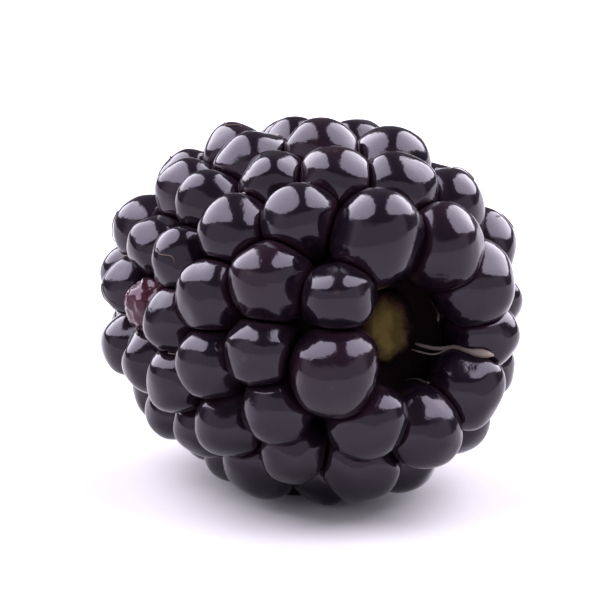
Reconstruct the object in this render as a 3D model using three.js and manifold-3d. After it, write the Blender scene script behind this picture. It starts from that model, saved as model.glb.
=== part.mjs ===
// A bramble berry: one ripe fruit as picked, lying on its side.
//
// Millimetres, +Z up. The fruit lies along X with its stem end toward +X.
// Juicy drupelets stand in rows on a solid body of flesh. The rows leave a
// shallow hollow at the stem end, and the receptacle shows as a low dome in it.
import * as THREE from 'three';
import { SimplifyModifier } from 'three/addons/modifiers/SimplifyModifier.js';
import { mergeVertices, toCreasedNormals } from 'three/addons/utils/BufferGeometryUtils.js';
import Module from 'manifold-3d';

const wasm = await Module();
wasm.setup();

// The surface that the drupelets' centres lie on: an egg around the X axis, widest
// at the belly. A bluntness of 2 is an ellipse, and more is squarer.
const BELLY_RADIUS = 9.95;
const BELLY_STATION = 1.0;
const STEM_SPAN = 12.0;
const TIP_SPAN = 15.0;
const STEM_BLUNTNESS = 2.2;
const TIP_BLUNTNESS = 2.05;

// The rim row around the hollow. Its drupelets grow unequally, so each has its own
// turn (degrees from the top toward -Y) and size against the row's radius.
const RIM_STATION = 10.6;
const RIM_RADIUS = 2.42;
const RIM = [
  { turn: 19, size: 1.14 },
  { turn: 57, size: 0.88 },
  { turn: 101, size: 1.12 },
  { turn: 143, size: 0.86 },
  { turn: 185, size: 0.94 },
  { turn: 228, size: 0.92 },
  { turn: 257, size: 0.86 },
  { turn: 292, size: 0.98 },
  { turn: 332, size: 0.98 },
];

// The other rows, from the rim to the tip: how many drupelets stand in the row, its
// station along X, the turn where it starts and the radius of its drupelets.
const ROWS = [
  { count: 14, station: 7.2, start: 12, radius: 2.34 },
  { count: 15, station: 3.3, start: 22, radius: 2.3 },
  { count: 16, station: -0.2, start: 15, radius: 2.24 },
  { count: 15, station: -4.4, start: 10, radius: 2.16 },
  { count: 12, station: -7.8, start: -14, radius: 2.08 },
  { count: 10, station: -10.5, start: 12, radius: 2.0 },
  { count: 5, station: -12.8, start: 0, radius: 1.92 },
  { count: 1, station: -13.9, start: 0, radius: 1.86 },
];

// How unevenly the drupelets stand and grow, and how calm the rim row is.
const STATION_SPREAD = 0.5;
const PITCH_SPREAD = 0.18;
const SIZE_SPREAD = 0.09;
const RIM_CALM = 0.4;
const GROWTH_SEED = 11;

// Crowding: drupelets push each other apart until they press only a little. Then
// they ripen, and swell against their neighbours.
const CROWD_STEPS = 60;
const CROWD_SNUG = 0.97;
const CROWD_PUSH = 0.35;
const RIM_PUSH = 0.3;
const RIM_LIMIT = 10.9;
const RIPE_SWELLING = 1.06;

// The flesh under the drupelets reaches a lip under the rim row. Inside the lip is
// the hollow, with the receptacle's dome in it.
const FLESH_INSET = 0.1;
const LIP_STATION = 10.5;
const HOLLOW_RADIUS = 4.7;
const HOLLOW_STATION = 8.0;
const RECEPTACLE_RADIUS = 2.8;
const RECEPTACLE_RISE = 1.5;
const FLESH_STATIONS = 18;
const DOME_STATIONS = 4;
const FLESH_SIDES = 40;

// The fruit rests with its stem end a little up, turned to where it lies steady,
// and its weight presses a small flat on each drupelet that it stands on.
const REST_TILT = THREE.MathUtils.degToRad(3.5);
const REST_ROLL = THREE.MathUtils.degToRad(1.4);
const PRESSED_DEPTH = 0.25;

// How fine the facets are.
const DRUPELET_DETAIL = 2;
const FINEST_POINTS = 4200;
const CREASE_ANGLE = Math.PI / 5;

/** A repeatable uneven number from -1 to 1 for one drupelet and one trait. */
function uneven(index, trait) {
  const wave = Math.sin(index * 12.9898 + (trait + GROWTH_SEED) * 78.233) * 43758.5453;
  return 2 * (wave - Math.floor(wave)) - 1;
}

/** The span and bluntness of the egg on one side of the belly. */
function eggEnd(station) {
  return station > BELLY_STATION
    ? { span: STEM_SPAN, bluntness: STEM_BLUNTNESS }
    : { span: TIP_SPAN, bluntness: TIP_BLUNTNESS };
}

/** The distance from the axis to the egg at a station along X. */
function girthAt(station) {
  const { span, bluntness } = eggEnd(station);
  const reach = Math.min(1, Math.abs(station - BELLY_STATION) / span);
  return BELLY_RADIUS * (1 - reach ** bluntness) ** (1 / bluntness);
}

/** The point on the egg at a station and an angle from the top toward -Y. */
function pointOnEgg(station, angle) {
  const girth = girthAt(station);
  return new THREE.Vector3(station, -girth * Math.sin(angle), girth * Math.cos(angle));
}

/** Brings a point that has left the egg back onto it, on the line to the belly. */
function backToEgg(point) {
  const { span, bluntness } = eggEnd(point.x);
  const reach = Math.abs(point.x - BELLY_STATION) / span;
  const width = Math.hypot(point.y, point.z) / BELLY_RADIUS;
  const scale = (reach ** bluntness + width ** bluntness) ** (-1 / bluntness);
  const station = BELLY_STATION + (point.x - BELLY_STATION) * scale;
  return pointOnEgg(Math.min(station, RIM_LIMIT), Math.atan2(-point.y, point.z));
}

/** The rim row's drupelets before they crowd each other. */
function setOutRim() {
  return RIM.map(({ turn, size }, index) => {
    const station = RIM_STATION + STATION_SPREAD * RIM_CALM * uneven(index, 1);
    const centre = pointOnEgg(station, THREE.MathUtils.degToRad(turn));
    return { centre, radius: RIM_RADIUS * size, isRim: true };
  });
}

/** One of the other rows' drupelets before they crowd each other. */
function setOutRow(row, firstIndex) {
  return Array.from({ length: row.count }, (_, place) => {
    const index = firstIndex + place;
    const station = row.station + STATION_SPREAD * uneven(index, 1);
    const turn = row.start + (360 * (place + PITCH_SPREAD * uneven(index, 2))) / row.count;
    const centre = pointOnEgg(station, THREE.MathUtils.degToRad(turn));
    return { centre, radius: row.radius * (1 + SIZE_SPREAD * uneven(index, 3)), isRim: false };
  });
}

/** All the drupelets as the rows set them out. */
function setOutDrupelets() {
  const drupelets = setOutRim();
  for (const row of ROWS) drupelets.push(...setOutRow(row, drupelets.length));
  return drupelets;
}

/** How far one drupelet is pushed by all those that press on it. */
function crowdingOn(drupelet, drupelets) {
  const push = new THREE.Vector3();
  for (const other of drupelets) {
    if (other === drupelet) continue;
    const away = drupelet.centre.clone().sub(other.centre);
    const gap = away.length();
    const overlap = CROWD_SNUG * (drupelet.radius + other.radius) - gap;
    if (overlap > 0) push.addScaledVector(away, overlap / gap);
  }
  return push.multiplyScalar(CROWD_PUSH * (drupelet.isRim ? RIM_PUSH : 1));
}

/** Lets the drupelets push each other apart over the egg. */
function crowd(drupelets) {
  for (let step = 0; step < CROWD_STEPS; step++) {
    const pushes = drupelets.map((drupelet) => crowdingOn(drupelet, drupelets));
    drupelets.forEach((drupelet, index) => {
      drupelet.centre = backToEgg(drupelet.centre.add(pushes[index]));
    });
  }
  return drupelets;
}

/** A closed three.js geometry with its shared points merged and no empty triangles. */
function weld(geometry) {
  geometry.deleteAttribute('normal');
  geometry.deleteAttribute('uv');
  const welded = mergeVertices(geometry);
  const corners = [];
  for (let i = 0; i < welded.index.count; i += 3) {
    const [a, b, c] = welded.index.array.slice(i, i + 3);
    if (a !== b && b !== c && c !== a) corners.push(a, b, c);
  }
  return welded.setIndex(corners);
}

/** A closed three.js geometry as a solid that can be joined and cut. */
function toSolid(geometry) {
  const welded = weld(geometry);
  return new wasm.Manifold(new wasm.Mesh({
    numProp: 3,
    vertProperties: new Float32Array(welded.attributes.position.array),
    triVerts: new Uint32Array(welded.index.array),
  }));
}

/** A solid's surface as a three.js geometry. */
function toGeometry(solid) {
  const { vertProperties, triVerts } = solid.getMesh();
  const geometry = new THREE.BufferGeometry();
  geometry.setAttribute('position', new THREE.BufferAttribute(vertProperties, 3));
  return geometry.setIndex(new THREE.BufferAttribute(triVerts, 1));
}

/** One drupelet, a small ball of pulp. */
function drupeletSolid({ centre, radius }) {
  const ball = new THREE.IcosahedronGeometry(radius * RIPE_SWELLING, DRUPELET_DETAIL);
  return toSolid(ball.translate(centre.x, centre.y, centre.z));
}

/** The flesh that joins the drupelets, with the receptacle's dome in its hollow. */
function fleshSolid() {
  const tip = BELLY_STATION - TIP_SPAN + FLESH_INSET;
  const outline = [new THREE.Vector2(0, tip)];
  for (let i = 1; i <= FLESH_STATIONS; i++) {
    const station = THREE.MathUtils.lerp(tip, LIP_STATION, i / FLESH_STATIONS);
    outline.push(new THREE.Vector2(girthAt(station) - FLESH_INSET, station));
  }
  outline.push(new THREE.Vector2(HOLLOW_RADIUS, HOLLOW_STATION));
  for (let i = 0; i < DOME_STATIONS; i++) {
    const angle = (Math.PI / 2) * (i / DOME_STATIONS);
    const station = HOLLOW_STATION + RECEPTACLE_RISE * Math.sin(angle);
    outline.push(new THREE.Vector2(RECEPTACLE_RADIUS * Math.cos(angle), station));
  }
  outline.push(new THREE.Vector2(0, HOLLOW_STATION + RECEPTACLE_RISE));
  return toSolid(new THREE.LatheGeometry(outline, FLESH_SIDES).rotateZ(-Math.PI / 2));
}

/** The whole fruit as it grew, with its facets thinned to the number of points. */
async function fruitGeometry() {
  const drupelets = crowd(setOutDrupelets()).map(drupeletSolid);
  const fruit = drupelets.reduce((solid, drupelet) => solid.add(drupelet), fleshSolid());
  const surface = weld(toGeometry(fruit));
  const excess = surface.attributes.position.count - FINEST_POINTS;
  return new SimplifyModifier().modify(surface, excess);
}

/** Everything below the surface that the fruit rests on. */
function groundSolid(size) {
  const ground = new THREE.BoxGeometry(2 * size.x, 2 * size.y, size.z);
  return toSolid(ground.translate(0, 0, -size.z / 2));
}

/** The fruit in its rest position, with its pressed flats on z = 0. */
function restedGeometry(geometry) {
  geometry.rotateX(REST_ROLL).rotateY(-REST_TILT);
  geometry.computeBoundingBox();
  const box = geometry.boundingBox;
  const size = box.getSize(new THREE.Vector3());
  const middle = box.getCenter(new THREE.Vector3());
  geometry.translate(-middle.x, -middle.y, -box.min.z - PRESSED_DEPTH);
  const rested = toSolid(geometry).subtract(groundSolid(size));
  return toCreasedNormals(toGeometry(rested), CREASE_ANGLE);
}

const skin = new THREE.MeshStandardMaterial({ color: 0x1d1119, roughness: 0.25, metalness: 0 });

const berry = new THREE.Mesh(restedGeometry(await fruitGeometry()), skin);
berry.name = 'berry';

const brambleBerry = new THREE.Group();
brambleBerry.add(berry);

export default brambleBerry;
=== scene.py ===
"""A ripe bramble berry as picked, lying on its side in a plain white studio.

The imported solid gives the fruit's size and place. This script grows the fruit's
visible surface there: its drupelets, the receptacle that carries them, the dried
styles left on their tips and the dry stamens round the hollow at the stem end.
Lengths are in metres, and +X is toward the fruit's stem end.
"""

import math
from dataclasses import dataclass
from enum import IntEnum

import bmesh
import bpy
from bpy.props import FloatProperty, FloatVectorProperty, IntProperty, PointerProperty
from mathutils import Matrix, Quaternion, Vector, noise


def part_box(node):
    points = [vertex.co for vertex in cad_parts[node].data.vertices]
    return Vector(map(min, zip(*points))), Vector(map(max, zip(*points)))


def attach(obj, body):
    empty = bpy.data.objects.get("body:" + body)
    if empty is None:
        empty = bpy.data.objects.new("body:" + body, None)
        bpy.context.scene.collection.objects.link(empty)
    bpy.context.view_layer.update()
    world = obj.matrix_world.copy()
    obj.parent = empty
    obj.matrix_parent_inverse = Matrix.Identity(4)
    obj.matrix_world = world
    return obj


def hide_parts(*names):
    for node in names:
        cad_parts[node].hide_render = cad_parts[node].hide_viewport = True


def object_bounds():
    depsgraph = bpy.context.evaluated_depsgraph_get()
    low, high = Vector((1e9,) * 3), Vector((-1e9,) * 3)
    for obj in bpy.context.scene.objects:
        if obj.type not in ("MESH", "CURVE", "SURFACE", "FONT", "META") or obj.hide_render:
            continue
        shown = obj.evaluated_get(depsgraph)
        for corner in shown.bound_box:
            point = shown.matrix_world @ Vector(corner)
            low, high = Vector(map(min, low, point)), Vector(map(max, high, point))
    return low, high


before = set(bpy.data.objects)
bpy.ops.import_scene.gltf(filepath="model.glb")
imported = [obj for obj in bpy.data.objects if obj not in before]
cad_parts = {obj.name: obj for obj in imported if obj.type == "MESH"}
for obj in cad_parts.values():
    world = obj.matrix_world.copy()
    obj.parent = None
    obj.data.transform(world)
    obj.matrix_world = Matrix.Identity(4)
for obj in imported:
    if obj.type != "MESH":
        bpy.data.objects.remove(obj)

bl_info = {
    "name": "Bramble Berry",
    "version": (1, 0, 0),
    "blender": (4, 5, 0),
    "location": "3D View > Sidebar > Bramble",
    "description": "Grows a ripe bramble berry over its packed solid and sets its studio",
    "category": "Object",
}

CAD_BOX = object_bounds()
BERRY_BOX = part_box("berry")
MM = 0.001

# The rim row around the hollow: each drupelet's turn in degrees from the top
# toward -Y, its size against the row's radius, and how far it leans into the hollow.
RIM_STATION = 10.6 * MM
RIM_RADIUS = 2.42 * MM
RIM = (
    (19, 1.14, 0.0),
    (57, 0.88, 0.0),
    (101, 1.12, 0.0),
    (143, 0.86, 0.0),
    (185, 0.94, 0.2 * MM),
    (228, 0.92, 0.3 * MM),
    (257, 0.86, 0.7 * MM),
    (292, 0.98, 0.7 * MM),
    (332, 0.98, 0.4 * MM),
)

# The other rows, from the rim to the tip: how many drupelets, the row's station
# along X, the turn where it starts in degrees, and the radius of its drupelets.
ROWS = (
    (14, 7.2 * MM, 12, 2.34 * MM),
    (15, 3.3 * MM, 22, 2.3 * MM),
    (16, -0.2 * MM, 15, 2.24 * MM),
    (15, -4.4 * MM, 10, 2.16 * MM),
    (12, -7.8 * MM, -14, 2.08 * MM),
    (10, -10.5 * MM, 12, 2.0 * MM),
    (5, -12.8 * MM, 0, 1.92 * MM),
    (1, -13.9 * MM, 0, 1.86 * MM),
)

# Which rows each piece of the fruit's surface holds, the rim being row 0.
GROUPS_OF_ROWS = {
    "rim_drupelets": (0, 1),
    "shoulder_drupelets": (2, 3),
    "belly_drupelets": (4, 5),
    "tip_drupelets": (6, 7, 8),
}

# How calmly the rim row grows and how far out it may be pushed, and how drupelets
# crowd each other.
RIM_CALM = 0.4
RIM_PUSH = 0.3
RIM_LIMIT = 10.9 * MM
CROWD_STEPS = 60
CROWD_SNUG = 0.97
CROWD_PUSH = 0.35

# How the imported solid's drupelets swelled after that, and how deep they pressed into
# the surface under them.
SOLID_SWELLING = 1.06
PRESSED_DEPTH = 0.25 * MM

# The width, as a share of the fruit's, under which a point is taken to be on its
# axis, and the distance under which two points of a mesh are one.
ON_AXIS = 1e-6
SAME_POINT = 0.001 * MM

# How finely the fruit is searched for gaps, along it and round it.
GAP_STATIONS = 60
GAP_TURNS = 120

# Numbers that scatter whole numbers evenly, and that start each drupelet's lumps,
# each style's wander and each stamen's curl at a place of their own in the noise.
SCATTER_INDEX = 12.9898
SCATTER_TRAIT = 78.233
SCATTER_SPREAD = 43758.5453
LUMP_DRIFT = (3.1, 1.7, 0.9)
STYLE_DRIFT = (2.7, 1.1, 4.2)
STAMEN_DRIFT = (3.3, 0.22, 9.1)

# A drupelet's skin: how closely its slow lumps follow each other, how uneven the
# stretch is, and the depth and closeness of a dried one's folds and puckers.
LUMP_CLOSENESS = 1.3
STRETCH_SPREAD = 0.7
FOLD_DEPTH = 2.0
FOLD_CLOSENESS = 2.6
PUCKER_DEPTH = 0.4
PUCKER_CLOSENESS = 6.0
DRIED_TONE = 2.0

# A hair's breadth that keeps two skins apart where they press on each other, and how
# far apart, in radii, two drupelets no longer share a wall.
TOUCH_GAP = 0.012 * MM
WALL_RANGE = 1.35

# Every dry thread: its sides, its steps along, how far round it drupelets are looked
# for, how often it is moved clear of them, and how uneven its length is.
THREAD_SIDES = 6
THREAD_STEPS = 14
THREAD_RANGE = 8 * MM
CLEARING_ROUNDS = 3
LENGTH_SPREAD = 0.35

# Drupelets that face further down than this have no dry threads on them.
UNDERSIDE = -0.4

# A style: how far it wanders and lifts off, how deep it is rooted and how it tapers.
STYLE_WANDER = 1.6
STYLE_LIFT = 0.12 * MM
STYLE_ROOT = 0.97
STYLE_TAPER = 0.6

# A stamen: how uneven its girth is, how swollen it is over its anther at the far end,
# how plump the anthers are, how thin its very ends are, and how often it is eased.
GIRTH_MEAN = 1.1
GIRTH_SPREAD = 0.4
ANTHER = (1.2, 1.8, 2.1, 1.7, 0.7)
ANTHER_MEAN = 0.6
THREAD_END = 0.5
EASING_ROUNDS = 4

# Stamens that stand in the hollow: their feet, and how unevenly they stand and curl.
STANDING_RISE = 0.4 * MM
STANDING_INSET = 0.3 * MM
STANDING_SPREAD = 0.3
STANDING_LEAN = 0.7
STANDING_TWIST = 0.6
STANDING_CURL = 0.3

# Stamens that fell across the crease between two of the rim's drupelets: where their
# feet are, their splay in radians, and each one's side of the crease and girth.
FALLEN_ACROSS = (5, 6)
FALLEN_RISE = 1.6 * MM
FALLEN_RADIUS = 1.9 * MM
FALLEN_SPLAY = 0.12
FALLEN_SPACING = 0.15 * MM
FALLEN_SIDES = ((-1, 2.3), (1, 1.3))
FALLEN_CURL = 0.06

# Bits of stamen caught in creases: how high they lie, and how uneven and curly.
CAUGHT_HEIGHT = 0.5
CAUGHT_SPREAD = 0.5
CAUGHT_CURL = 0.12

# The receptacle's outline, and how finely it is turned.
BODY_STEPS = 30
STUMP_STEPS = 16
TURN_STEPS = 120
TIP_RADIUS = 0.1 * MM
LIP_SETBACK = 0.6 * MM
LIP_FLARE = 0.2 * MM
HOLLOW_WALL = 0.3 * MM
HOLLOW_FILLET = 0.4 * MM
STUMP_FOOT = 1.15
STUMP_BLUNTNESS = 0.8

# The torn stump: how far round it the tear reaches, how bare its middle is, how much
# darker its edge is, partly browned and partly painted shade, how far past the middle the
# painted shade on its +Y side starts, and the size and height of its lumps, fibres and pit.
TEAR_FLOOR = 0.1 * MM
TEAR_REACH = 1.3
BARE_MIDDLE = 1.15
EDGE_BROWNING_AND_SHADE = 0.45
SHADE_REACH = 0.15
LUMP_SIZE = 1.3 * MM
FIBRE_SIZE = 0.35 * MM
FIBRE_HEIGHT = 0.14 * MM
PIT_RADIUS = 0.6 * MM
PIT_DEPTH = 0.25 * MM

# The studio: the board's sides, where a softbox starts to fade and ends, how softly
# the low wall's top and ends fade, how white the room looks, and the camera's body.
FLOOR_SIDES = 96
SOFTBOX_FADE = (0.1, 0.6)
WALL_TOP_FADE = (math.radians(6), math.radians(3))
WALL_END_FADE = 0.15
ROOM_WHITE = 1.3
SENSOR_WIDTH = 36.0
CAMERA_CLIPS = (0.01, 10.0)


class Trait(IntEnum):
    """What is uneven from one drupelet or thread to the next."""

    STATION = 1
    TURN = 2
    SIZE = 3
    SQUEEZE = 5
    STRETCH = 6
    TONE = 7
    STYLE = 9
    LENGTH = 10
    SPIN = 11
    LIFT = 12
    PLACE = 21
    LEAN = 22
    TWIST = 23
    CAUGHT = 31
    GIRTH = 32
    ANTHER = 33


def linear(hex_colour):
    """An sRGB hex colour such as "#1A0F14" as linear red, green, blue."""
    channels = [int(hex_colour[i : i + 2], 16) / 255 for i in (1, 3, 5)]
    return tuple(c / 12.92 if c <= 0.04045 else ((c + 0.055) / 1.055) ** 2.4 for c in channels)


def colour_property(name, description, hex_colour):
    """A colour that a user can change, given as sRGB hex."""
    return FloatVectorProperty(
        name=name, description=description, default=linear(hex_colour), subtype="COLOR", size=3,
        min=0.0, max=1.0,
    )


def length_property(name, description, default):
    """A length in metres that a user can change."""
    return FloatProperty(
        name=name, description=description, default=default, subtype="DISTANCE", unit="LENGTH",
        precision=5,
    )


def angle_property(name, description, degrees):
    """An angle that a user can change, given in degrees."""
    return FloatProperty(
        name=name, description=description, default=math.radians(degrees), subtype="ANGLE",
        unit="ROTATION",
    )


def plain_property(name, description, default):
    """A share, ratio or brightness that a user can change."""
    return FloatProperty(name=name, description=description, default=default)


class BrambleFruit(bpy.types.PropertyGroup):
    """How the fruit is shaped and how its drupelets stand on it."""

    belly_radius: length_property("Belly radius", "Axis to the drupelets' centres", 9.95 * MM)
    belly_station: length_property("Belly station", "Where the fruit is widest", 1.0 * MM)
    stem_span: length_property("Stem span", "Belly to the stem end of the egg", 12.0 * MM)
    tip_span: length_property("Tip span", "Belly to the tip of the egg", 15.0 * MM)
    stem_bluntness: plain_property("Stem bluntness", "2 is an ellipse, more is squarer", 2.2)
    tip_bluntness: plain_property("Tip bluntness", "2 is an ellipse, more is squarer", 2.05)
    station_spread: length_property("Station spread", "Uneven place along it", 0.5 * MM)
    pitch_spread: plain_property("Pitch spread", "Uneven place round it", 0.18)
    size_spread: plain_property("Size spread", "Uneven drupelet size", 0.09)
    growth_seed: IntProperty(name="Growth seed", description="Which uneven fruit grows", default=11)
    lump_seed: IntProperty(
        name="Lump seed", description="How the stump is torn and the stamens curl", default=2
    )
    dried_one: IntProperty(
        name="Dried drupelet", description="Which drupelet dried up early", default=57
    )
    dried_size: plain_property("Dried size", "Its size against a juicy one", 0.88)
    rim_fullness: plain_property("Rim fullness", "How ripe the rim swelled", 1.08)
    open_gap: length_property("Open gap", "Radius of a gap that is left open", 0.75 * MM)
    late_size: plain_property("Late size", "A late drupelet's size against its gap", 1.6)
    rest_tilt: angle_property("Rest tilt", "How far the stem end is up", 3.5)
    rest_roll: angle_property("Rest roll", "Turn about the fruit's axis", 1.4)


class BrambleSkin(bpy.types.PropertyGroup):
    """How the drupelets swell and what their skin is like."""

    swelling: plain_property("Swelling", "Ripe size against crowding size", 1.09)
    stretch: plain_property("Stretch", "How far a drupelet's tip stands out", 0.1)
    squeeze: plain_property("Squeeze", "How far a drupelet is wider one way", 0.13)
    crease_softness: length_property("Crease softness", "Shoulder at a crease", 0.2 * MM)
    lump_height: length_property("Lump height", "Height of the skin's slow lumps", 0.24 * MM)
    wrinkle_height: length_property("Wrinkle height", "On the dried drupelet", 0.14 * MM)
    fineness: IntProperty(
        name="Fineness", description="Subdivisions of a drupelet", default=5, min=1, max=5
    )
    ripe: colour_property("Ripe", "Skin over dark juice", "#0D080F")
    redder: colour_property("Redder", "Skin that is less ripe", "#180911")
    dried: colour_property("Dried", "Skin of the dried drupelet", "#34171F")
    scar: colour_property("Scar", "Dry scar where the style stood", "#1E1512")
    # Painted glow: creases get this lighter colour, standing in for light through the thin skin.
    crease: colour_property("Crease", "Thin skin down in a crease", "#1D1119")


class BrambleReceptacle(bpy.types.PropertyGroup):
    """The body under the drupelets, and its stump in the hollow at the stem end."""

    inset: length_property("Inset", "Drupelets' centres to the body's surface", 1.6 * MM)
    lip_station: length_property("Lip station", "Where the body ends", 10.0 * MM)
    hollow_radius: length_property("Hollow radius", "Radius of the hollow's floor", 4.3 * MM)
    hollow_station: length_property("Hollow station", "The hollow's floor", 7.8 * MM)
    stump_radius: length_property("Stump radius", "Radius of the bare stump", 2.4 * MM)
    stump_rise: length_property("Stump rise", "Height of the stump in the hollow", 1.6 * MM)
    stump_flattening: plain_property("Stump flattening", "How far it is narrower", 0.12)
    relief: length_property("Relief", "Height of the stump's torn lumps", 0.45 * MM)
    # Partly painted shade: this nearly black colour also darkens the gaps between drupelets and the
    # hollow.
    body: colour_property("Body", "Juice-stained tissue", "#0D0506")
    # Browning and painted shade: this colour darkens the stump's edge and its +Y side.
    browned_and_shaded: colour_property("Bruise", "Browned edge of the stump", "#25150F")
    bare: colour_property("Bare", "Bare tissue of the stump", "#372C14")
    pith: colour_property("Pith", "Paler middle of the stump", "#463B1C")


class BrambleThreads(bpy.types.PropertyGroup):
    """The dried styles on the drupelets and the dry stamens round the hollow."""

    style_share: plain_property("Style share", "Share of drupelets that kept theirs", 0.16)
    style_length: length_property("Style length", "Length of a dried style", 1.4 * MM)
    style_girth: length_property("Style girth", "Radius at a style's root", 0.05 * MM)
    style_root: colour_property("Style root", "Dry brown tissue", "#24110C")
    style_tip: colour_property("Style tip", "Paler at the far end", "#432619")
    stamen_count: IntProperty(
        name="Stamen count", description="Dry stamens round the hollow", default=5
    )
    stamen_length: length_property("Stamen length", "Length of a dry stamen", 2.2 * MM)
    fallen_turn: angle_property("Fallen turn", "Where two stand that fell", 225)
    fallen_height: length_property("Fallen height", "Of their ends over a crease", 2.0 * MM)
    caught_share: plain_property("Caught share", "Share of creases that hold one", 0.3)
    caught_length: length_property("Caught length", "Length of a caught stamen", 1.4 * MM)
    stamen_girth: length_property("Stamen girth", "Radius of its filament", 0.05 * MM)
    stamen_root: colour_property("Stamen root", "Dry tissue", "#403638")
    stamen_tip: colour_property("Stamen tip", "Dry anther", "#72665D")


class BrambleStudio(bpy.types.PropertyGroup):
    """The plain white studio and its camera."""

    camera_azimuth: angle_property("Camera azimuth", "0 looks along +Y, 90 along -X", 54)
    camera_elevation: angle_property("Camera elevation", "Above the horizon", 15)
    camera_distance: length_property("Camera distance", "Camera to the fruit", 0.42)
    frame_width: length_property("Frame width", "Width seen at the fruit", 0.039)
    floor_radius: length_property("Floor radius", "Radius of the white board", 0.6)
    floor_colour: colour_property("Floor", "Matt white board", "#AEACAD")
    lamp_side: angle_property("Lamp side", "Softboxes to the camera's sides", 115)
    lamp_elevation: angle_property("Lamp elevation", "Above the horizon", 46)
    lamp_roll: angle_property("Lamp roll", "How far a softbox's far end hangs down", 38)
    lamp_distance: length_property("Lamp distance", "Softbox to the fruit", 0.6)
    lamp_width: length_property("Lamp width", "Width of a softbox", 1.35)
    lamp_height: length_property("Lamp height", "Height of a softbox", 0.6)
    lamp_colour: colour_property("Lamp", "Cool white softbox", "#F5F1FF")
    lamp_radiance: plain_property("Lamp radiance", "Brightness of the softboxes", 8.1)
    lamp_edge: plain_property("Lamp edge", "Brightness at a softbox's edge", 0.85)
    wall_elevation: angle_property("Wall elevation", "Top of the low wall", 35)
    wall_radiance: plain_property("Wall radiance", "Brightness of the low wall", 1.02)
    room_radiance: plain_property("Room radiance", "Brightness of the dark room", 0.2)
    fill_radiance: plain_property("Fill radiance", "Soft light from all round", 0.8)


@dataclass
class Drupelet:
    """One juicy ball of the fruit, and which way it faces."""

    index: int
    row: int
    radius: float
    centre: Vector
    outward: Vector = None
    dried: bool = False


def uneven(index, trait, seed=0):
    """A repeatable uneven number from -1 to 1 for one drupelet and one trait."""
    wave = math.sin(index * SCATTER_INDEX + (trait + seed) * SCATTER_TRAIT) * SCATTER_SPREAD
    return 2 * (wave - math.floor(wave)) - 1


def egg_end(fruit, station):
    """The span and bluntness of the egg on one side of the belly."""
    if station > fruit.belly_station:
        return fruit.stem_span, fruit.stem_bluntness
    return fruit.tip_span, fruit.tip_bluntness


def girth_at(fruit, station):
    """The distance from the axis to the egg at a station along X."""
    span, bluntness = egg_end(fruit, station)
    reach = min(1.0, abs(station - fruit.belly_station) / span)
    return fruit.belly_radius * (1 - reach**bluntness) ** (1 / bluntness)


def round_axis(station, radius, angle):
    """The point at a station and radius, at an angle from the top toward -Y."""
    return Vector((station, -radius * math.sin(angle), radius * math.cos(angle)))


def back_to_egg(fruit, point):
    """Brings a point that has left the egg back onto it, on the line to the belly."""
    span, bluntness = egg_end(fruit, point.x)
    reach = abs(point.x - fruit.belly_station) / span
    width = math.hypot(point.y, point.z) / fruit.belly_radius
    scale = (reach**bluntness + width**bluntness) ** (-1 / bluntness)
    station = min(fruit.belly_station + (point.x - fruit.belly_station) * scale, RIM_LIMIT)
    return round_axis(station, girth_at(fruit, station), math.atan2(-point.y, point.z))


def egg_normal(fruit, point):
    """The outward direction of the egg's surface at a point on it."""
    span, bluntness = egg_end(fruit, point.x)
    along = (point.x - fruit.belly_station) / span
    width = math.hypot(point.y, point.z) / fruit.belly_radius
    slope = math.copysign(abs(along) ** (bluntness - 1), along) / span
    spread = width ** (bluntness - 2) / fruit.belly_radius**2 if width > ON_AXIS else 0.0
    return Vector((slope, spread * point.y, spread * point.z)).normalized()


def set_out_rim(fruit):
    """The rim row's drupelets before they crowd each other."""
    rim = []
    for index, (turn, size, _) in enumerate(RIM):
        jitter = fruit.station_spread * uneven(index, Trait.STATION, fruit.growth_seed)
        station = RIM_STATION + RIM_CALM * jitter
        centre = round_axis(station, girth_at(fruit, station), math.radians(turn))
        rim.append(Drupelet(index, 0, RIM_RADIUS * size, centre))
    return rim


def set_out_row(fruit, row, number, first_index):
    """One of the other rows' drupelets before they crowd each other."""
    count, row_station, start, row_radius = row
    drupelets = []
    for place in range(count):
        index = first_index + place
        along = fruit.station_spread * uneven(index, Trait.STATION, fruit.growth_seed)
        around = fruit.pitch_spread * uneven(index, Trait.TURN, fruit.growth_seed)
        size = fruit.size_spread * uneven(index, Trait.SIZE, fruit.growth_seed)
        station = row_station + along
        turn = math.radians(start + 360 * (place + around) / count)
        centre = round_axis(station, girth_at(fruit, station), turn)
        drupelets.append(Drupelet(index, number, row_radius * (1 + size), centre))
    return drupelets


def crowding_on(drupelet, drupelets):
    """How far one drupelet is pushed by all those that press on it."""
    push = Vector()
    for other in drupelets:
        if other is drupelet:
            continue
        away = drupelet.centre - other.centre
        overlap = CROWD_SNUG * (drupelet.radius + other.radius) - away.length
        if overlap > 0:
            push += away.normalized() * overlap
    return push * (CROWD_PUSH * (RIM_PUSH if drupelet.row == 0 else 1))


def crowd(fruit, drupelets):
    """Lets the drupelets push each other apart over the egg."""
    for _ in range(CROWD_STEPS):
        pushes = [crowding_on(drupelet, drupelets) for drupelet in drupelets]
        for drupelet, push in zip(drupelets, pushes):
            drupelet.centre = back_to_egg(fruit, drupelet.centre + push)


def room_at(point, drupelets):
    """How far a point is from the nearest drupelet's ball."""
    return min((point - drupelet.centre).length - drupelet.radius for drupelet in drupelets)


def widest_gap(fruit, drupelets):
    """The point with most room round it, between the fruit's tip and the first row."""
    start = fruit.belly_station - fruit.tip_span
    _, end, _, _ = ROWS[0]
    spots = []
    for step in range(GAP_STATIONS):
        station = start + (end - start) * (step + 0.5) / GAP_STATIONS
        girth = girth_at(fruit, station)
        turns = [math.tau * turn / GAP_TURNS for turn in range(GAP_TURNS)]
        spots += [round_axis(station, girth, turn) for turn in turns]
    return max(spots, key=lambda spot: room_at(spot, drupelets))


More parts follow.
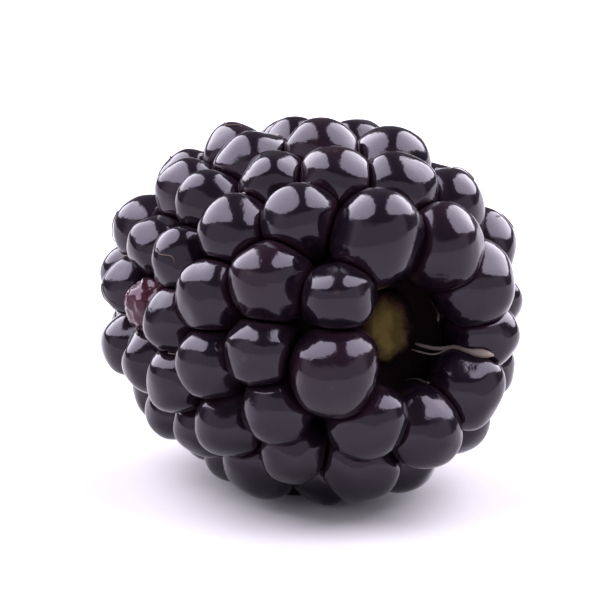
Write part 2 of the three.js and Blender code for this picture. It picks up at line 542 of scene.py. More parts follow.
def fill_gaps(fruit, drupelets):
    """Adds a small late drupelet to each gap that is too wide to stay open."""
    while True:
        spot = widest_gap(fruit, drupelets)
        room = room_at(spot, drupelets)
        if room < fruit.open_gap:
            return
        nearest = min(drupelets, key=lambda drupelet: (drupelet.centre - spot).length)
        row = max(1, nearest.row)
        drupelets.append(Drupelet(len(drupelets), row, room * fruit.late_size, spot))


def rest_pose(fruit, drupelets):
    """The matrix from the fruit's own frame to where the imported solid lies."""
    turn = Matrix.Rotation(-fruit.rest_tilt, 4, "Y") @ Matrix.Rotation(fruit.rest_roll, 4, "X")
    balls = [(turn @ d.centre, d.radius * SOLID_SWELLING) for d in drupelets]
    low = [min(centre[axis] - radius for centre, radius in balls) for axis in range(3)]
    high = [max(centre[axis] + radius for centre, radius in balls) for axis in range(3)]
    middle = (BERRY_BOX[0] + BERRY_BOX[1]) / 2
    shift = Vector(
        (
            middle.x - (low[0] + high[0]) / 2,
            middle.y - (low[1] + high[1]) / 2,
            BERRY_BOX[0].z - PRESSED_DEPTH - low[2],
        )
    )
    return Matrix.Translation(shift) @ turn


def grow_layout(fruit):
    """Every drupelet of the fruit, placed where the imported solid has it, and the pose."""
    # Vector noise would start from the clock, so it is given a seed.
    noise.seed_set(fruit.lump_seed)
    drupelets = set_out_rim(fruit)
    for number, row in enumerate(ROWS, start=1):
        drupelets += set_out_row(fruit, row, number, len(drupelets))
    crowd(fruit, drupelets)
    pose = rest_pose(fruit, drupelets)
    fill_gaps(fruit, drupelets)
    turn = pose.to_3x3()
    for drupelet in drupelets:
        drupelet.outward = turn @ egg_normal(fruit, drupelet.centre)
        if drupelet.row == 0:
            lean = RIM[drupelet.index][2]
            inward = -Vector((0, drupelet.centre.y, drupelet.centre.z)).normalized()
            drupelet.centre += lean * inward
            drupelet.radius *= fruit.rim_fullness
        drupelet.centre = pose @ drupelet.centre
    dried = drupelets[fruit.dried_one]
    dried.dried = True
    dried.radius *= fruit.dried_size
    return drupelets, pose


def sideways_of(drupelet):
    """The way across a drupelet in which it is squeezed."""
    across = drupelet.outward.orthogonal().normalized()
    return Matrix.Rotation(drupelet.index, 3, drupelet.outward) @ across


def wrinkles(way, drift):
    """The folds and puckers of a dried drupelet, most of them inward."""
    folds = -FOLD_DEPTH * abs(noise.noise(way * FOLD_CLOSENESS + drift))
    return folds + PUCKER_DEPTH * noise.noise(way * PUCKER_CLOSENESS + drift)


def reach_toward(drupelet, way, skin):
    """How far a drupelet's free skin stands from its centre in a direction."""
    index = drupelet.index
    out = max(0.0, way.dot(drupelet.outward))
    stretch = skin.stretch * (1 + STRETCH_SPREAD * uneven(index, Trait.STRETCH))
    squeeze = skin.squeeze * uneven(index, Trait.SQUEEZE)
    across = way.dot(sideways_of(drupelet))
    drift = Vector([index * step for step in LUMP_DRIFT])
    lump = noise.noise(way * LUMP_CLOSENESS + drift) * skin.lump_height
    if drupelet.dried:
        lump += wrinkles(way, drift) * skin.wrinkle_height
    return drupelet.radius * skin.swelling * (1 + stretch * out**2 + squeeze * across**2) + lump


def press(point, origin, toward, wall, softness):
    """Holds a point on the near side of a wall, and rounds the shoulder before it."""
    depth = (point - origin).dot(toward) - wall
    if depth <= -softness:
        return point
    held = -softness * math.exp(-(depth + softness) / softness)
    return point + toward * (held - depth)


def walls_around(drupelet, drupelets, skin):
    """The walls that a drupelet shares with its neighbours: direction and distance."""
    walls = []
    radius = drupelet.radius * skin.swelling
    for other in drupelets:
        if other is drupelet:
            continue
        toward = other.centre - drupelet.centre
        gap = toward.length
        reach = other.radius * skin.swelling
        if gap < (radius + reach) * WALL_RANGE:
            wall = (gap**2 + radius**2 - reach**2) / (2 * gap) - TOUCH_GAP
            walls.append((toward / gap, wall))
    return walls


def grow_drupelet(mesh, drupelet, drupelets, skin):
    """Adds one drupelet's skin to the mesh, pressed by its neighbours and the floor."""
    facing = drupelet.outward.to_track_quat("Z", "Y").to_matrix().to_4x4()
    made = bmesh.ops.create_icosphere(
        mesh, subdivisions=skin.fineness, radius=drupelet.radius,
        matrix=Matrix.Translation(drupelet.centre) @ facing,
    )
    walls = walls_around(drupelet, drupelets, skin)
    floor = BERRY_BOX[0] + Vector((0, 0, TOUCH_GAP))
    tone = mesh.verts.layers.float["tone"]
    from_tip = mesh.verts.layers.float["from_tip"]
    from_crease = mesh.verts.layers.float["from_crease"]
    for vert in made["verts"]:
        way = (vert.co - drupelet.centre).normalized()
        point = drupelet.centre + way * reach_toward(drupelet, way, skin)
        for toward, wall in walls:
            point = press(point, drupelet.centre, toward, wall, skin.crease_softness)
        arm = point - drupelet.centre
        # The distance to the nearest crease, which places the painted glow in the creases.
        vert[from_crease] = min(wall - arm.dot(toward) for toward, wall in walls)
        vert.co = press(point, floor, Vector((0, 0, -1)), 0.0, skin.crease_softness / 2)
        vert[tone] = DRIED_TONE if drupelet.dried else uneven(drupelet.index, Trait.TONE)
        vert[from_tip] = drupelet.radius * drupelet.outward.angle(way)


def new_mesh(*layers):
    """An empty bmesh with the named float layers on its points."""
    mesh = bmesh.new()
    for layer in layers:
        mesh.verts.layers.float.new(layer)
    return mesh


def add_object(name, data):
    """An object of the scene that shows a mesh, lamp or camera."""
    thing = bpy.data.objects.new(name, data)
    bpy.context.scene.collection.objects.link(thing)
    return thing


def add_mesh(mesh, name, material):
    """An object of the scene that shows a finished bmesh in one material."""
    data = bpy.data.meshes.new(name)
    mesh.to_mesh(data)
    mesh.free()
    data.materials.append(material)
    return add_object(name, data)


def finish_piece(mesh, name, material):
    """Turns a bmesh into a piece that rides on the fruit and stands for its solid."""
    bmesh.ops.recalc_face_normals(mesh, faces=mesh.faces)
    for face in mesh.faces:
        face.smooth = True
    piece = add_mesh(mesh, name, material)
    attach(piece, "root")
    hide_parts("berry")


def thread_frames(points, girths):
    """Where each ring of a thread stands: at its point, across the way it runs."""
    frames = []
    heading = Vector((0, 0, 1))
    turn = heading.to_track_quat("Z", "Y")
    last = len(points) - 1
    for i, (point, girth) in enumerate(zip(points, girths)):
        way = (points[min(i + 1, last)] - points[max(i - 1, 0)]).normalized()
        turn = heading.rotation_difference(way) @ turn
        heading = way
        frames.append(Matrix.LocRotScale(point, turn, Vector((girth, girth, girth))))
    return frames


def add_thread(mesh, points, girths):
    """Adds a closed thread that runs through the points, with its radius at each."""
    along = mesh.verts.layers.float["along"]
    frames = thread_frames(points, girths)
    made = bmesh.ops.create_circle(
        mesh, cap_ends=True, segments=THREAD_SIDES, radius=1.0, matrix=frames[0]
    )
    cap = made["verts"][0].link_faces[0]
    for i, (before, after) in enumerate(zip(frames, frames[1:]), start=1):
        grown = bmesh.ops.extrude_face_region(mesh, geom=[cap])["geom"]
        ring = [part for part in grown if isinstance(part, bmesh.types.BMVert)]
        cap = next(part for part in grown if isinstance(part, bmesh.types.BMFace))
        bmesh.ops.transform(mesh, matrix=after @ before.inverted(), verts=ring)
        for vert in ring:
            vert[along] = i / (len(frames) - 1)


def clear_of(point, drupelets, skin, clearance):
    """Moves a point out of every drupelet's skin and off the floor, by a clearance."""
    for drupelet in drupelets * CLEARING_ROUNDS:
        arm = point - drupelet.centre
        reach = reach_toward(drupelet, arm.normalized(), skin) + clearance
        if arm.length < reach:
            point = drupelet.centre + arm.normalized() * reach
    return Vector((point.x, point.y, max(point.z, BERRY_BOX[0].z + 2 * clearance)))


def drift_along(index, along, drift):
    """Where in the noise a thread's point takes its wander or curl from."""
    per_thread, per_step, level = drift
    return Vector((index * per_thread, along * per_step, level))


def style_path(drupelet, drupelets, skin, length, girth):
    """The line of a dried style, from the drupelet's tip down over its skin."""
    index = drupelet.index
    near = [d for d in drupelets if (d.centre - drupelet.centre).length < THREAD_RANGE]
    across = sideways_of(drupelet)
    spin = math.pi * uneven(index, Trait.SPIN)
    lift = STYLE_LIFT * max(0.0, uneven(index, Trait.LIFT))
    points = []
    for step in range(THREAD_STEPS + 1):
        share = step / THREAD_STEPS
        wander = STYLE_WANDER * noise.noise(drift_along(index, share, STYLE_DRIFT))
        aside = Matrix.Rotation(spin + wander, 3, drupelet.outward) @ across
        sweep = share * length / drupelet.radius
        way = drupelet.outward * math.cos(sweep) + aside * math.sin(sweep)
        height = girth + lift * share
        point = drupelet.centre + way * (reach_toward(drupelet, way, skin) + height)
        points.append(clear_of(point, near, skin, girth))
    root = drupelet.centre + (points[0] - drupelet.centre) * STYLE_ROOT
    return [root] + points


@dataclass
class Stand:
    """Where a dry stamen's foot is and which way it runs, its length, curl and girth."""

    foot: Vector
    heading: Vector
    length: float
    curl: float
    girth: float


def stamen_path(index, stand, drupelets, skin, girth):
    """The line of a dry stamen that wanders from its foot, clear of the skins."""
    near = [d for d in drupelets if (d.centre - stand.foot).length < THREAD_RANGE]
    heading = stand.heading
    points = [clear_of(stand.foot, near, skin, girth)]
    for step in range(THREAD_STEPS):
        curl = noise.noise_vector(drift_along(index, step, STAMEN_DRIFT))
        heading = (heading + curl * stand.curl).normalized()
        point = points[-1] + heading * (stand.length / THREAD_STEPS)
        points.append(clear_of(point, near, skin, girth))
    for _ in range(EASING_ROUNDS):
        eased = [(a + 2 * b + c) / 4 for a, b, c in zip(points, points[1:], points[2:])]
        inner = [clear_of(point, near, skin, girth) for point in eased]
        points = [points[0], *inner, points[-1]]
    return points


def hollow_stands(pose, receptacle, threads):
    """The dry stamens that stand round the hollow."""
    turn = pose.to_3x3()
    station = receptacle.hollow_station + STANDING_RISE
    radius = receptacle.hollow_radius - STANDING_INSET
    girth = threads.stamen_girth
    stands = []
    for index in range(threads.stamen_count):
        place = index + STANDING_SPREAD * uneven(index, Trait.PLACE)
        around = math.tau * place / threads.stamen_count
        foot = round_axis(station, radius, around)
        outward = round_axis(0.0, STANDING_LEAN * uneven(index, Trait.LEAN), around)
        twist = STANDING_TWIST * uneven(index, Trait.TWIST)
        sideways = round_axis(0.0, twist, around + math.pi / 2)
        heading = (Vector((1, 0, 0)) + outward + sideways).normalized()
        length = threads.stamen_length * (1 + LENGTH_SPREAD * uneven(index, Trait.LENGTH))
        stands.append(Stand(pose @ foot, turn @ heading, length, STANDING_CURL, girth))
    return stands


def fallen_stands(pose, drupelets, receptacle, threads):
    """The two long stamens that fell from the hollow across a crease of its rim."""
    pair = [drupelets[index] for index in FALLEN_ACROSS]
    middle = sum((drupelet.centre for drupelet in pair), Vector()) / 2
    outward = sum((drupelet.outward for drupelet in pair), Vector()).normalized()
    crease = middle + outward * threads.fallen_height
    station = receptacle.hollow_station + FALLEN_RISE
    stands = []
    for side, thickness in FALLEN_SIDES:
        around = threads.fallen_turn - side * FALLEN_SPLAY
        foot = pose @ round_axis(station, FALLEN_RADIUS, around)
        reach = crease + side * FALLEN_SPACING * pair[0].outward - foot
        girth = threads.stamen_girth * thickness
        stands.append(Stand(foot, reach.normalized(), reach.length, FALLEN_CURL, girth))
    return stands


def corner_of(drupelet, drupelets):
    """The drupelet nearest to this one, and the one nearest to them both."""
    others = [other for other in drupelets if other is not drupelet]
    second = min(others, key=lambda other: (other.centre - drupelet.centre).length)
    middle = (drupelet.centre + second.centre) / 2
    others = [other for other in others if other is not second]
    return second, min(others, key=lambda other: (other.centre - middle).length)


def caught_stands(drupelets, threads):
    """The short bits of dry stamen caught in the creases between drupelets."""
    stands = []
    for drupelet in drupelets:
        index = drupelet.index
        lost = uneven(index, Trait.CAUGHT) > 2 * threads.caught_share - 1
        if lost or drupelet.outward.z < UNDERSIDE:
            continue
        second, third = corner_of(drupelet, drupelets)
        outward = (drupelet.outward + second.outward + third.outward).normalized()
        middle = (drupelet.centre + second.centre + third.centre) / 3
        foot = middle + outward * CAUGHT_HEIGHT * drupelet.radius
        along = (second.centre - drupelet.centre).cross(outward).normalized()
        if along.dot(third.centre - foot) > 0:
            along.negate()
        length = threads.caught_length * (1 + CAUGHT_SPREAD * uneven(index, Trait.LENGTH))
        stands.append(Stand(foot, along, length, CAUGHT_CURL, threads.stamen_girth))
    return stands


def add_node(tree, kind, settings=None, links=None, **attributes):
    """Adds a node, sets its attributes and sockets, and links the inputs that have a source."""
    node = tree.nodes.new(kind)
    for name, value in attributes.items():
        setattr(node, name, value)
    for socket, value in (settings or {}).items():
        node.inputs[socket].default_value = value
    for socket, source in (links or {}).items():
        if source is not None:
            tree.links.new(source, node.inputs[socket])
    return node


def empty_tree(owner):
    """The node tree of a material, lamp or world, with nothing in it."""
    owner.use_nodes = True
    owner.node_tree.nodes.clear()
    return owner.node_tree


def new_material(name):
    """A new material, its node tree and the place on the object that patterns follow."""
    material = bpy.data.materials.new(name)
    tree = empty_tree(material)
    place = add_node(tree, "ShaderNodeTexCoord")
    return material, tree, place.outputs["Object"]


def opaque(colour):
    """A linear colour with full alpha, as colour sockets take it."""
    return (*colour, 1.0)


def finish_material(material, base, layers, relief, settings):
    """Ends a material in one surface, with its colours, its relief and its settings.

    A layer of colour is its source, the source's values where it starts and where it
    is full, and the colour. A layer of relief is its height and its depth in metres.
    """
    tree = material.node_tree
    colour = None
    for source, start, full, over in layers:
        share = add_node(
            tree, "ShaderNodeMapRange", settings={"From Min": start, "From Max": full},
            links={"Value": source},
        )
        mix = add_node(
            tree, "ShaderNodeMix", data_type="RGBA", settings={6: opaque(base), 7: opaque(over)},
            links={0: share.outputs[0], 6: colour},
        )
        colour = mix.outputs[2]
    normal = None
    for height, depth in relief:
        bump = add_node(
            tree, "ShaderNodeBump", settings={"Strength": 1.0, "Distance": depth},
            links={"Height": height, "Normal": normal},
        )
        normal = bump.outputs["Normal"]
    surface = add_node(
        tree, "ShaderNodeBsdfPrincipled", settings={"Base Color": opaque(base), **settings},
        links={"Base Color": colour, "Normal": normal},
    )
    add_node(tree, "ShaderNodeOutputMaterial", links={"Surface": surface.outputs[0]})
    return material


def bramble_skin_material(skin):
    """Bramble skin, a taut waxy film over dark juice."""
    # The film is clear and wet-looking, so the drupelets mirror the room, and the
    # juice under it is so dark that they look black, or wine red where less ripe.
    material, tree, place = new_material("Bramble skin")
    tone = add_node(tree, "ShaderNodeAttribute", attribute_name="tone")
    from_tip = add_node(tree, "ShaderNodeAttribute", attribute_name="from_tip")
    from_crease = add_node(tree, "ShaderNodeAttribute", attribute_name="from_crease")
    # Skin is redder where it is less ripe. Ripeness differs from drupelet to drupelet
    # and drifts over about 4 mm, and a dried drupelet's tone is above every other's.
    drift = add_node(
        tree, "ShaderNodeTexNoise",
        settings={"Scale": 1 / (4 * MM), "Detail": 3.0, "Roughness": 0.55}, links={"Vector": place},
    )
    unripe = add_node(
        tree, "ShaderNodeMath", operation="MULTIPLY_ADD", settings={1: 0.55},
        links={0: tone.outputs["Fac"], 2: drift.outputs["Fac"]},
    )
    # Creases are painted a lighter wine colour for about 0.5 mm on each side of them: a
    # painted glow that stands in for light coming through the thin skin there. The scar is
    # a dot about 0.3 mm across at the tip.
    layers = (
        (unripe.outputs[0], 0.8, 1.3, skin.redder),
        (tone.outputs["Fac"], 1.2, 1.8, skin.dried),
        (from_crease.outputs["Fac"], 0.5 * MM, 0.05 * MM, skin.crease),
        (from_tip.outputs["Fac"], 0.2 * MM, 0.12 * MM, skin.scar),
    )
    # The skin puckers over about 0.8 mm, with a fine grain of about 0.2 mm on it.
    pucker = add_node(
        tree, "ShaderNodeTexNoise",
        settings={"Scale": 1 / (0.8 * MM), "Detail": 2.0, "Roughness": 0.5},
        links={"Vector": place},
    )
    grain = add_node(
        tree, "ShaderNodeTexNoise",
        settings={"Scale": 1 / (0.2 * MM), "Detail": 2.0, "Roughness": 0.6},
        links={"Vector": place},
    )
    relief = ((pucker.outputs["Fac"], 0.022 * MM), (grain.outputs["Fac"], 0.004 * MM))
    settings = {"Roughness": 0.12, "IOR": 1.4, "Specular Tint": (0.93, 0.86, 0.99, 1.0)}
    return finish_material(material, skin.ripe, layers, relief, settings)


def receptacle_material(receptacle):
    """Receptacle tissue, pithy and torn where the calyx came away."""
    # Torn pith is dull and fibrous: olive where it is bare and browned at its edge, with
    # painted shade that darkens its edge and its +Y side, where the rim shades it. The body
    # is nearly black: partly juice stain below the drupelets, partly painted shade in the
    # gaps between them and down in the hollow.
    material, tree, place = new_material("Receptacle tissue")
    bare = add_node(tree, "ShaderNodeAttribute", attribute_name="bare")
    # The tissue is blotched and torn over about 0.9 mm, with finer fibres in that.
    mottle = add_node(
        tree, "ShaderNodeTexNoise",
        settings={"Scale": 1 / (0.9 * MM), "Detail": 4.0, "Roughness": 0.65},
        links={"Vector": place},
    )
    blotched = add_node(
        tree, "ShaderNodeMath", operation="MULTIPLY_ADD", settings={1: 0.5, 2: -0.25},
        links={0: mottle.outputs["Fac"]},
    )
    depth = add_node(
        tree, "ShaderNodeMath", operation="ADD",
        links={0: bare.outputs["Fac"], 1: blotched.outputs[0]},
    )
    # The first layer's brown is partly browned tissue, partly painted shade on the stump's edge and
    # +Y side.
    layers = (
        (depth.outputs[0], 0.1, 0.4, receptacle.browned_and_shaded),
        (depth.outputs[0], 0.4, 0.7, receptacle.bare),
        (depth.outputs[0], 0.85, 1.1, receptacle.pith),
    )
    relief = [(mottle.outputs["Fac"], 0.12 * MM)]
    settings = {"Roughness": 0.8, "IOR": 1.4, "Specular IOR Level": 0.1}
    return finish_material(material, receptacle.body, layers, relief, settings)


def dry_tissue_material(name, root, tip):
    """Dry plant tissue, shrivelled where it withered on the fruit."""
    # It is papery and a little shiny, and paler toward the thin far end.
    material, tree, place = new_material(name)
    along = add_node(tree, "ShaderNodeAttribute", attribute_name="along")
    # It is blotched over about 0.3 mm, and creased as finely as it shrank.
    blotch = add_node(
        tree, "ShaderNodeTexNoise",
        settings={"Scale": 1 / (0.3 * MM), "Detail": 3.0, "Roughness": 0.6},
        links={"Vector": place},
    )
    paleness = add_node(
        tree, "ShaderNodeMath", operation="MULTIPLY_ADD", use_clamp=True,
        settings={1: 0.9, 2: -0.45}, links={0: blotch.outputs["Fac"]},
    )
    far_end = add_node(
        tree, "ShaderNodeMath", operation="ADD",
        links={0: along.outputs["Fac"], 1: paleness.outputs[0]},
    )
    layers = [(far_end.outputs[0], 0.0, 1.0, tip)]
    relief = [(blotch.outputs["Fac"], 0.03 * MM)]
    return finish_material(material, root, layers, relief, {"Roughness": 0.55, "IOR": 1.45})


def white_board_material(studio):
    """Matt white board, coated paper with no sheen."""
    # It looks even, so it shows only the fruit's soft shadow; its paper fibres, felted
    # over about 0.6 mm, are barely there.
    material, tree, place = new_material("Matt white board")
    fibres = add_node(
        tree, "ShaderNodeTexNoise",
        settings={"Scale": 1 / (0.6 * MM), "Detail": 3.0, "Roughness": 0.6},
        links={"Vector": place},
    )
    relief = [(fibres.outputs["Fac"], 0.01 * MM)]
    settings = {"Roughness": 0.9, "Specular IOR Level": 0.1}
    return finish_material(material, studio.floor_colour, (), relief, settings)


def receptacle_outline(fruit, receptacle):
    """The receptacle's half outline as station and radius, from the tip to the stump."""
    tip = fruit.belly_station - fruit.tip_span + receptacle.inset
    outline = [(tip, 0.0)]
    for step in range(1, BODY_STEPS + 1):
        station = tip + (receptacle.lip_station - tip) * step / BODY_STEPS
        radius = max(TIP_RADIUS, girth_at(fruit, station) - receptacle.inset)
        outline.append((station, radius))
    lip = receptacle.lip_station - LIP_SETBACK
    floor = receptacle.hollow_station
    wall = receptacle.hollow_radius
    stump = receptacle.stump_radius
    outline += [
        (lip, wall + LIP_FLARE),
        (floor + HOLLOW_WALL, wall),
        (floor, wall - HOLLOW_FILLET),
        (floor, stump * STUMP_FOOT),
    ]
    for step in range(STUMP_STEPS):
        angle = math.pi / 2 * step / STUMP_STEPS
        station = floor + receptacle.stump_rise * math.sin(angle) ** STUMP_BLUNTNESS
        outline.append((station, stump * math.cos(angle) ** STUMP_BLUNTNESS))
    outline.append((floor + receptacle.stump_rise, 0.0))
    return outline


def tear_stump(mesh, receptacle):
    """Roughens the stump where the calyx tore away, and marks how bare it is; the mark also
    paints shade, darker toward its edge and on its +Y side, where the rim shades it.
    """
    bare = mesh.verts.layers.float["bare"]
    for vert in mesh.verts:
        radius = math.hypot(vert.co.y, vert.co.z)
        height = vert.co.x - receptacle.hollow_station
        if height < -TEAR_FLOOR or radius > receptacle.stump_radius * TEAR_REACH:
            continue
        rise = min(1.0, max(0.0, height / receptacle.stump_rise))
        edge = radius / receptacle.stump_radius
        # Painted shade: the mark drops on the +Y side, where the rim shades it, toward the edge and
        # toward the stump's foot.
        shaded_side = max(0.0, vert.co.y / receptacle.stump_radius + SHADE_REACH)
        vert[bare] = rise * (BARE_MIDDLE - EDGE_BROWNING_AND_SHADE * edge**3) - shaded_side
        lump = noise.noise_vector(vert.co / LUMP_SIZE)
        across = Vector((0, vert.co.y, vert.co.z))
        fibre = noise.noise(across / FIBRE_SIZE)
        pit = math.exp(-((radius / PIT_RADIUS) ** 2))
        vert.co += lump * receptacle.relief * rise
        vert.co.x += FIBRE_HEIGHT * fibre * rise - PIT_DEPTH * pit
        vert.co.y *= 1 - receptacle.stump_flattening * rise


class BRAMBLE_OT_grow_drupelets(bpy.types.Operator):
    """Grow the drupelets, pressed against each other and the floor"""

    bl_idname = "bramble.grow_drupelets"
    bl_label = "Grow drupelets"

    def execute(self, context):
        scene = context.scene
        skin = scene.bramble_skin
        material = bramble_skin_material(skin)
        drupelets, _ = grow_layout(scene.bramble_fruit)
        for name, rows in GROUPS_OF_ROWS.items():
            mesh = new_mesh("tone", "from_tip", "from_crease")
            for drupelet in drupelets:
                if drupelet.row in rows:
                    grow_drupelet(mesh, drupelet, drupelets, skin)
            finish_piece(mesh, name, material)
        return {"FINISHED"}


class BRAMBLE_OT_grow_receptacle(bpy.types.Operator):
    """Grow the receptacle that carries the drupelets and shows in the hollow"""

    bl_idname = "bramble.grow_receptacle"
    bl_label = "Grow receptacle"

    def execute(self, context):
        scene = context.scene
        receptacle = scene.bramble_receptacle
        _, pose = grow_layout(scene.bramble_fruit)
        mesh = new_mesh("bare")
        outline = receptacle_outline(scene.bramble_fruit, receptacle)
        points = [mesh.verts.new((station, 0, radius)) for station, radius in outline]
        edges = [mesh.edges.new(pair) for pair in zip(points, points[1:])]
        bmesh.ops.spin(
            mesh, geom=points + edges, axis=(1, 0, 0), cent=(0, 0, 0), angle=math.tau,
            steps=TURN_STEPS, use_merge=True,
        )
        bmesh.ops.remove_doubles(mesh, verts=mesh.verts, dist=SAME_POINT)
        tear_stump(mesh, receptacle)
        mesh.transform(pose)
        finish_piece(mesh, "receptacle", receptacle_material(receptacle))
        return {"FINISHED"}


class BRAMBLE_OT_grow_styles(bpy.types.Operator):
    """Leave the dried styles on the drupelets' tips"""

    bl_idname = "bramble.grow_styles"
    bl_label = "Grow styles"

    def execute(self, context):
        scene = context.scene
        threads = scene.bramble_threads
        drupelets, _ = grow_layout(scene.bramble_fruit)
        mesh = new_mesh("along")
        for drupelet in drupelets:
            index = drupelet.index
            lost = uneven(index, Trait.STYLE) > 2 * threads.style_share - 1
            if lost or drupelet.outward.z < UNDERSIDE:
                continue
            length = threads.style_length * (1 + LENGTH_SPREAD * uneven(index, Trait.LENGTH))
            girth = threads.style_girth
            points = style_path(drupelet, drupelets, scene.bramble_skin, length, girth)
            count = len(points)
            girths = [girth * (1 - STYLE_TAPER * i / count) for i in range(count)]
            add_thread(mesh, points, girths)
        material = dry_tissue_material("Dried style", threads.style_root, threads.style_tip)
        finish_piece(mesh, "styles", material)
        return {"FINISHED"}


class BRAMBLE_OT_grow_stamens(bpy.types.Operator):
    """Leave dry stamens round the hollow, across its rim and in the creases"""

    bl_idname = "bramble.grow_stamens"
    bl_label = "Grow stamens"

    def execute(self, context):
        scene = context.scene
        threads = scene.bramble_threads
        drupelets, pose = grow_layout(scene.bramble_fruit)
        skin = scene.bramble_skin
        receptacle = scene.bramble_receptacle
        stands = hollow_stands(pose, receptacle, threads)
        stands += fallen_stands(pose, drupelets, receptacle, threads)
        stands += caught_stands(drupelets, threads)
        mesh = new_mesh("along")
        for index, stand in enumerate(stands):
            girth = stand.girth * (GIRTH_MEAN + GIRTH_SPREAD * uneven(index, Trait.GIRTH))
            points = stamen_path(index, stand, drupelets, skin, girth)
            plump = min(1.0, max(0.0, ANTHER_MEAN + uneven(index, Trait.ANTHER)))
            anther = [girth * (1 + plump * (bulge - 1)) for bulge in ANTHER]
            girths = [girth] * (len(points) - len(anther)) + anther
            girths[0] *= THREAD_END
            girths[-1] *= THREAD_END
            add_thread(mesh, points, girths)
        material = dry_tissue_material("Dry stamen", threads.stamen_root, threads.stamen_tip)
        finish_piece(mesh, "stamens", material)
        return {"FINISHED"}


def direction(azimuth, elevation):
    """The way from the fruit to a camera or lamp at an azimuth and elevation."""
    return Vector(
        (
            math.sin(azimuth) * math.cos(elevation),
            -math.cos(azimuth) * math.cos(elevation),
            math.sin(elevation),
        )
    )


def aim(thing, azimuth, elevation, distance, target):
    """Stands a camera or lamp off from the target and turns it to face it."""
    back = direction(azimuth, elevation)
    thing.location = target + back * distance
    thing.rotation_mode = "QUATERNION"
    thing.rotation_quaternion = back.to_track_quat("Z", "Y")


def add_floor(studio):
    """A wide pale board that the fruit lies on."""
    mesh = bmesh.new()
    bmesh.ops.create_circle(mesh, cap_ends=True, segments=FLOOR_SIDES, radius=studio.floor_radius)
    add_mesh(mesh, "studio_floor", white_board_material(studio))


def fade_softbox(data, studio):
    """Makes a softbox brightest in the middle, as its cloth is."""
    tree = empty_tree(data)
    place = add_node(tree, "ShaderNodeNewGeometry")
    centred = add_node(
        tree, "ShaderNodeVectorMath", operation="SUBTRACT", settings={1: (0.5, 0.5, 0.0)},
        links={0: place.outputs["Parametric"]},
    )
    from_middle = add_node(
        tree, "ShaderNodeVectorMath", operation="LENGTH", links={0: centred.outputs["Vector"]}
    )
    glow = add_node(
        tree,
        "ShaderNodeMapRange",
        interpolation_type="SMOOTHSTEP",
        settings={
            "From Min": SOFTBOX_FADE[0],
            "From Max": SOFTBOX_FADE[1],
            "To Min": 1.0,
            "To Max": studio.lamp_edge,
        },
        links={"Value": from_middle.outputs["Value"]},
    )
    emission = add_node(tree, "ShaderNodeEmission", links={"Strength": glow.outputs[0]})
    add_node(tree, "ShaderNodeOutputLight", links={"Surface": emission.outputs[0]})


def add_softbox(studio, name, side, target):
    """A large soft lamp to one side of the camera, facing the fruit."""
    data = bpy.data.lights.new(name, "AREA")
    data.shape = "ELLIPSE"
    data.size = studio.lamp_width
    data.size_y = studio.lamp_height
    data.color = studio.lamp_colour
    area = math.pi / 4 * studio.lamp_width * studio.lamp_height
    data.energy = studio.lamp_radiance * math.pi * area
    fade_softbox(data, studio)
    lamp = add_object(name, data)
    lamp.visible_camera = False
    azimuth = studio.camera_azimuth + side * studio.lamp_side
    aim(lamp, azimuth, studio.lamp_elevation, studio.lamp_distance, target)
    lamp.rotation_quaternion @= Quaternion((0, 0, 1), -side * studio.lamp_roll)


def add_room(scene, studio):
    """A studio room that is white to the eye, with a pale low wall behind the camera."""
    # The skin mirrors the wall and the dark room above it, and soft light that comes
    # from all round fills the shadows.
    world = bpy.data.worlds.new("Studio room")
    tree = empty_tree(world)
    place = add_node(tree, "ShaderNodeTexCoord")
    height = add_node(tree, "ShaderNodeSeparateXYZ", links={"Vector": place.outputs["Generated"]})
    below_top = add_node(
        tree,
        "ShaderNodeMapRange",
        interpolation_type="SMOOTHSTEP",
        settings={
            "From Min": math.sin(studio.wall_elevation - WALL_TOP_FADE[0]),
            "From Max": math.sin(studio.wall_elevation + WALL_TOP_FADE[1]),
            "To Min": studio.wall_radiance,
            "To Max": 0.0,
        },
        links={"Value": height.outputs["Z"]},
    )
    toward = add_node(
        tree, "ShaderNodeVectorMath", operation="DOT_PRODUCT",
        settings={1: direction(studio.camera_azimuth, 0.0)}, links={0: place.outputs["Generated"]},
    )
    behind_camera = add_node(
        tree, "ShaderNodeMapRange",
        settings={"From Min": -WALL_END_FADE, "From Max": WALL_END_FADE},
        links={"Value": toward.outputs["Value"]},
    )
    room = add_node(
        tree, "ShaderNodeMath", operation="MULTIPLY_ADD", settings={2: studio.room_radiance},
        links={0: below_top.outputs[0], 1: behind_camera.outputs[0]},
    )
    path = add_node(tree, "ShaderNodeLightPath")
    strength = add_node(
        tree, "ShaderNodeMix", data_type="FLOAT", settings={3: ROOM_WHITE},
        links={0: path.outputs["Is Camera Ray"], 2: room.outputs[0]},
    )
    filled = add_node(
        tree, "ShaderNodeMath", operation="MULTIPLY_ADD", settings={1: studio.fill_radiance},
        links={0: path.outputs["Is Diffuse Ray"], 2: strength.outputs[0]},
    )
    background = add_node(
        tree, "ShaderNodeBackground", settings={"Color": opaque(studio.lamp_colour)},
        links={"Strength": filled.outputs[0]},
    )
    add_node(tree, "ShaderNodeOutputWorld", links={"Surface": background.outputs[0]})
    scene.world = world


def add_camera(scene, studio, target):
    """The camera, far off with a long lens."""
    data = bpy.data.cameras.new("studio_camera")
    data.sensor_width = SENSOR_WIDTH
    data.lens = data.sensor_width * studio.camera_distance / studio.frame_width
    data.clip_start, data.clip_end = CAMERA_CLIPS
    camera = add_object("studio_camera", data)
    aim(camera, studio.camera_azimuth, studio.camera_elevation, studio.camera_distance, target)
    scene.camera = camera


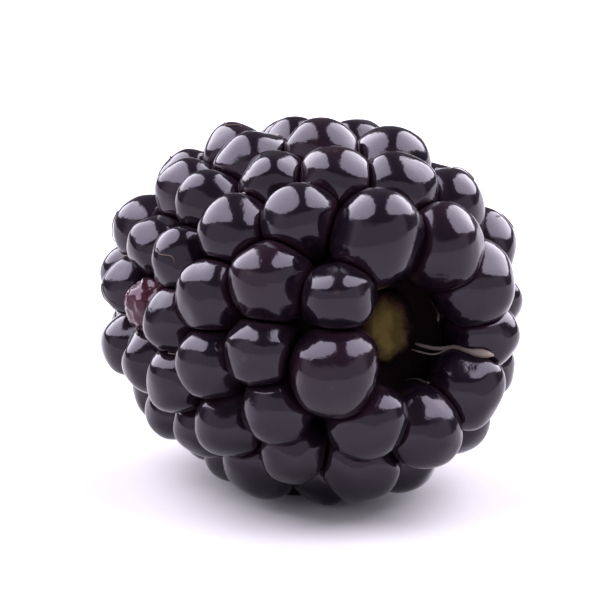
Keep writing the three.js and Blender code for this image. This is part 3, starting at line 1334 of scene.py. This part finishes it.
class BRAMBLE_OT_set_studio(bpy.types.Operator):
    """Lay the white board, hang the two softboxes and place the camera"""

    bl_idname = "bramble.set_studio"
    bl_label = "Set studio"

    def execute(self, context):
        scene = context.scene
        studio = scene.bramble_studio
        target = (CAD_BOX[0] + CAD_BOX[1]) / 2
        add_floor(studio)
        add_softbox(studio, "left_softbox", -1, target)
        add_softbox(studio, "right_softbox", 1, target)
        add_room(scene, studio)
        add_camera(scene, studio, target)
        scene.view_settings.view_transform = "Standard"
        return {"FINISHED"}


OPERATORS = (
    BRAMBLE_OT_set_studio,
    BRAMBLE_OT_grow_drupelets,
    BRAMBLE_OT_grow_receptacle,
    BRAMBLE_OT_grow_styles,
    BRAMBLE_OT_grow_stamens,
)

GROUPS = {
    "bramble_fruit": BrambleFruit,
    "bramble_skin": BrambleSkin,
    "bramble_receptacle": BrambleReceptacle,
    "bramble_threads": BrambleThreads,
    "bramble_studio": BrambleStudio,
}


class BRAMBLE_PT_panel(bpy.types.Panel):
    """The bramble berry's steps, and the sizes and colours that they use"""

    bl_idname = "BRAMBLE_PT_panel"
    bl_label = "Bramble Berry"
    bl_space_type = "VIEW_3D"
    bl_region_type = "UI"
    bl_category = "Bramble"

    def draw(self, context):
        for operator in OPERATORS:
            self.layout.operator(operator.bl_idname)
        for name, group in GROUPS.items():
            box = self.layout.box()
            for prop in group.__annotations__:
                box.prop(getattr(context.scene, name), prop)


def register():
    for cls in (*GROUPS.values(), *OPERATORS, BRAMBLE_PT_panel):
        bpy.utils.register_class(cls)
    for name, group in GROUPS.items():
        setattr(bpy.types.Scene, name, PointerProperty(type=group))


def unregister():
    for name in GROUPS:
        delattr(bpy.types.Scene, name)
    for cls in (BRAMBLE_PT_panel, *reversed(OPERATORS), *reversed(GROUPS.values())):
        bpy.utils.unregister_class(cls)


def main():
    """Grows the whole fruit in its studio."""
    register()
    bpy.ops.bramble.set_studio()
    bpy.ops.bramble.grow_drupelets()
    bpy.ops.bramble.grow_receptacle()
    bpy.ops.bramble.grow_styles()
    bpy.ops.bramble.grow_stamens()


if __name__ == "__main__":
    main()
